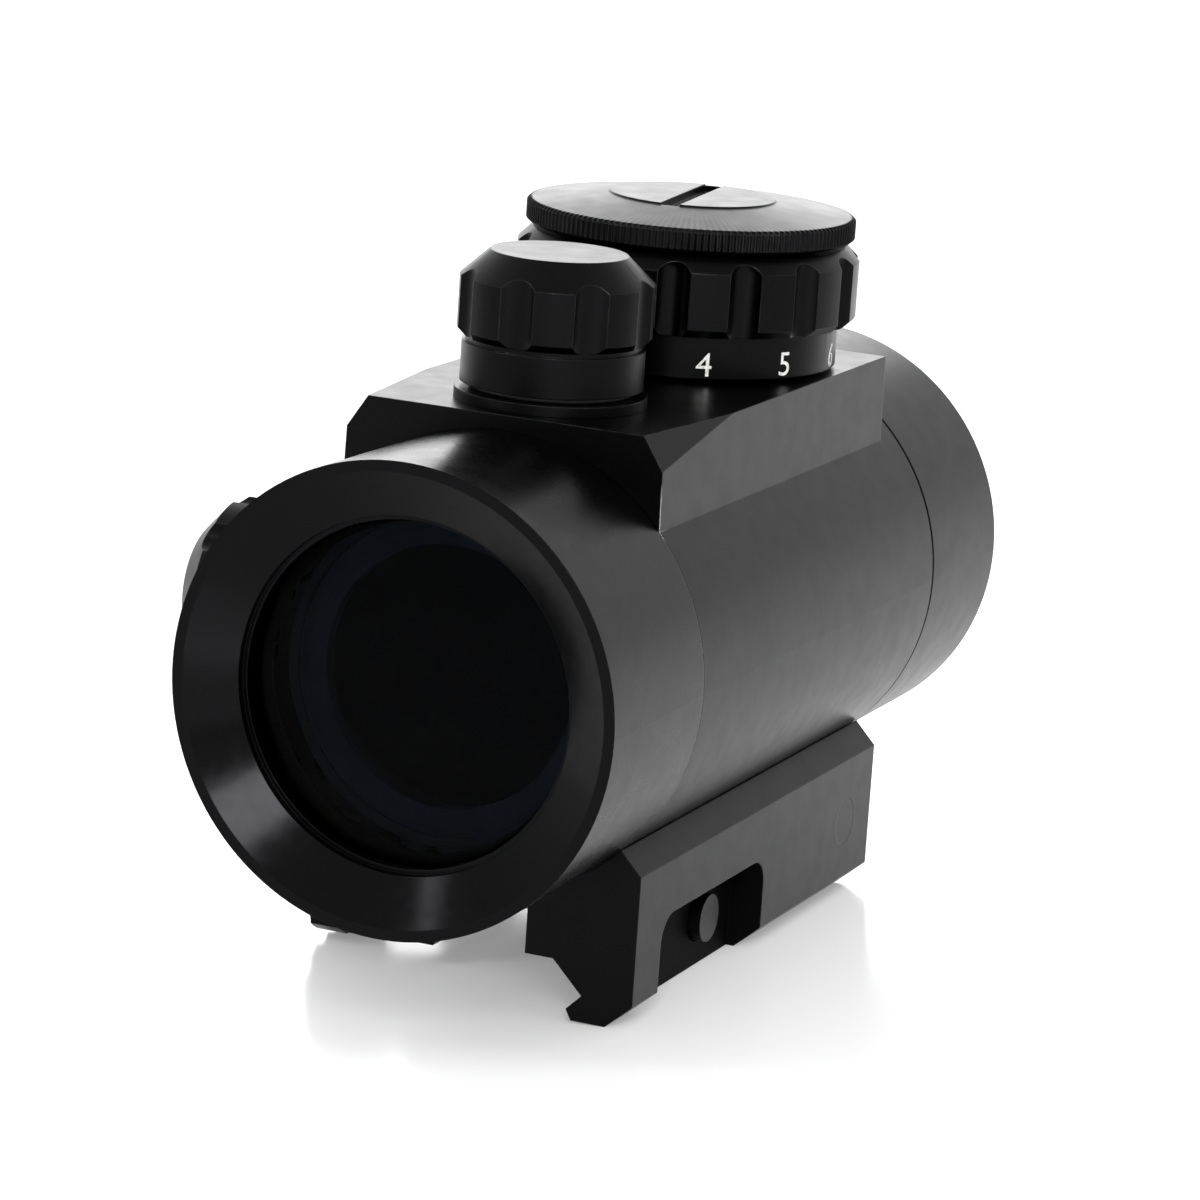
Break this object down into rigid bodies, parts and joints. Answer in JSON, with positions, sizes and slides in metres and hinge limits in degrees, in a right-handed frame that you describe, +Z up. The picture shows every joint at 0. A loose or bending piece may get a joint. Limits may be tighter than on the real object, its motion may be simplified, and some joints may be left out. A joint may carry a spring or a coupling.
{
  "type": "red dot finder",
  "caption": "Tube red dot finder with a rotary brightness switch and battery cap on top, two capped adjusters and a dovetail rail clamp underneath.",
  "frame": {"origin": "middle of the flat seat that lies on the rail, halfway along the base", "axes": "+Z up through the tube, +Y along the tube from the front (objective) end to the eye end, +X to the right of someone who looks at the front end"},
  "size_m": [0.0488, 0.089, 0.0652],
  "materials": {
    "anodised_aluminium": "satin black anodised over a fine blasted surface",
    "inner_aluminium": "matte black anodised",
    "coated_glass": "polished, coated",
    "seal_rubber": "smooth",
    "steel": "drawn",
    "black_steel": "black oxide",
    "brass": "turned",
    "contact_bronze": "stamped",
    "board": "solder mask",
    "black_plastic": "moulded",
    "led_plastic": "clear red"
  },
  "bodies": {
    "housing": {"main_housing": "anodised_aluminium", "objective_bezel": "anodised_aluminium", "bezel_seal": "seal_rubber", "objective_lens": "coated_glass", "objective_retainer": "inner_aluminium", "eyepiece_ring": "anodised_aluminium", "eyepiece_seal": "seal_rubber", "ocular_lens": "coated_glass", "ocular_retainer": "inner_aluminium", "pitch_pins": "steel", "elevation_spring": "steel", "windage_spring": "steel", "elevation_base": "brass", "windage_base": "brass", "switch_core": "black_plastic", "switch_board": "board", "click_spring": "steel", "battery_contact": "contact_bronze", "battery": "steel", "rail_base": "anodised_aluminium", "base_screws": "black_steel", "front_stud": "black_steel", "rear_stud": "black_steel"},
    "pivot": {"pivot_ring": "inner_aluminium", "yaw_pins": "steel"},
    "inner": {"inner_tube": "inner_aluminium", "combiner_lens": "coated_glass", "combiner_retainer": "inner_aluminium", "led_holder": "black_plastic", "led_emitter": "led_plastic"},
    "elevation_dial": {"elevation_dial": "brass"},
    "elevation_plunger": {"elevation_plunger": "steel"},
    "windage_dial": {"windage_dial": "brass"},
    "windage_plunger": {"windage_plunger": "steel"},
    "elevation_cap_seal": {"elevation_cap_seal": "seal_rubber"},
    "elevation_cap": {"elevation_cap": "anodised_aluminium"},
    "windage_cap_seal": {"windage_cap_seal": "seal_rubber"},
    "windage_cap": {"windage_cap": "anodised_aluminium"},
    "dial_knob": {"dial_knob": "anodised_aluminium", "dial_wiper": "contact_bronze"},
    "battery_cap_seal": {"battery_cap_seal": "seal_rubber"},
    "battery_cap": {"battery_cap": "anodised_aluminium"},
    "clamp_jaw": {"clamp_jaw": "anodised_aluminium"},
    "front_thumb_nut": {"front_thumb_nut": "anodised_aluminium"},
    "rear_thumb_nut": {"rear_thumb_nut": "anodised_aluminium"}
  },
  "joints": [
    {"name": "inner_pitch", "type": "hinge", "parent": "housing", "child": "pivot", "pos_m": [0, 0.0169, 0.0234], "axis": [1, 0, 0], "range_deg": [-1.12, 1.12], "deforming": ["elevation_spring"]},
    {"name": "inner_yaw", "type": "hinge", "parent": "pivot", "child": "inner", "pos_m": [0, 0.0169, 0.0234], "axis": [0, 0, 1], "range_deg": [-1.12, 1.12], "deforming": ["windage_spring"]},
    {"name": "elevation_turn", "type": "hinge", "parent": "housing", "child": "elevation_dial", "pos_m": [0, -0.0164, 0.0234], "axis": [0, 0, 1], "range_deg": [-468.06, 468.06]},
    {"name": "elevation_push", "type": "slide", "parent": "housing", "child": "elevation_plunger", "axis": [0, 0, -1], "range_m": [-0.00065, 0.00065]},
    {"name": "windage_turn", "type": "hinge", "parent": "housing", "child": "windage_dial", "pos_m": [0, -0.0164, 0.0234], "axis": [-1, 0, 0], "range_deg": [-468.06, 468.06]},
    {"name": "windage_push", "type": "slide", "parent": "housing", "child": "windage_plunger", "axis": [1, 0, 0], "range_m": [-0.00065, 0.00065]},
    {"name": "elevation_cap_lift", "type": "slide", "parent": "housing", "child": "elevation_cap_seal", "axis": [0, 0, 1], "range_m": [0, 0.003]},
    {"name": "elevation_cap_turn", "type": "hinge", "parent": "elevation_cap_seal", "child": "elevation_cap", "pos_m": [0, -0.0164, 0.0234], "axis": [0, 0, 1], "range_deg": [0, 1080]},
    {"name": "windage_cap_lift", "type": "slide", "parent": "housing", "child": "windage_cap_seal", "axis": [-1, 0, 0], "range_m": [0, 0.003]},
    {"name": "windage_cap_turn", "type": "hinge", "parent": "windage_cap_seal", "child": "windage_cap", "pos_m": [0, -0.0164, 0.0234], "axis": [-1, 0, 0], "range_deg": [0, 1080]},
    {"name": "brightness_turn", "type": "hinge", "parent": "housing", "child": "dial_knob", "pos_m": [0, 0.0112, 0.0234], "axis": [0, 0, 1], "range_deg": [-229.09, 98.18], "deforming": ["click_spring"]},
    {"name": "battery_cap_lift", "type": "slide", "parent": "housing", "child": "battery_cap_seal", "axis": [0, 0, 1], "range_m": [0, 0.003]},
    {"name": "battery_cap_turn", "type": "hinge", "parent": "battery_cap_seal", "child": "battery_cap", "pos_m": [0, 0.0112, 0.0234], "axis": [0, 0, 1], "range_deg": [0, 1080]},
    {"name": "clamp_open", "type": "slide", "parent": "housing", "child": "clamp_jaw", "axis": [-1, 0, 0], "range_m": [0, 0.0042]},
    {"name": "front_nut_turn", "type": "hinge", "parent": "clamp_jaw", "child": "front_thumb_nut", "pos_m": [0, -0.0061, -0.0006], "axis": [-1, 0, 0], "range_deg": [0, 1891]},
    {"name": "rear_nut_turn", "type": "hinge", "parent": "clamp_jaw", "child": "rear_thumb_nut", "pos_m": [0, 0.0203, 0.0023], "axis": [-1, 0, 0], "range_deg": [0, 1891]}
  ],
  "couplings": [
    {"joint": "elevation_turn", "follows": "inner_pitch", "ratio": 418.46},
    {"joint": "elevation_push", "follows": "inner_pitch", "m_per_rad": 0.0333},
    {"joint": "windage_turn", "follows": "inner_yaw", "ratio": 418.46},
    {"joint": "windage_push", "follows": "inner_yaw", "m_per_rad": 0.0333},
    {"joint": "elevation_cap_lift", "follows": "elevation_cap_turn", "m_per_rad": 0.00015915},
    {"joint": "windage_cap_lift", "follows": "windage_cap_turn", "m_per_rad": 0.00015915},
    {"joint": "battery_cap_lift", "follows": "battery_cap_turn", "m_per_rad": 0.00015915},
    {"joint": "front_nut_turn", "follows": "clamp_open", "rad_per_m": 7854},
    {"joint": "rear_nut_turn", "follows": "clamp_open", "rad_per_m": 7854}
  ]
}
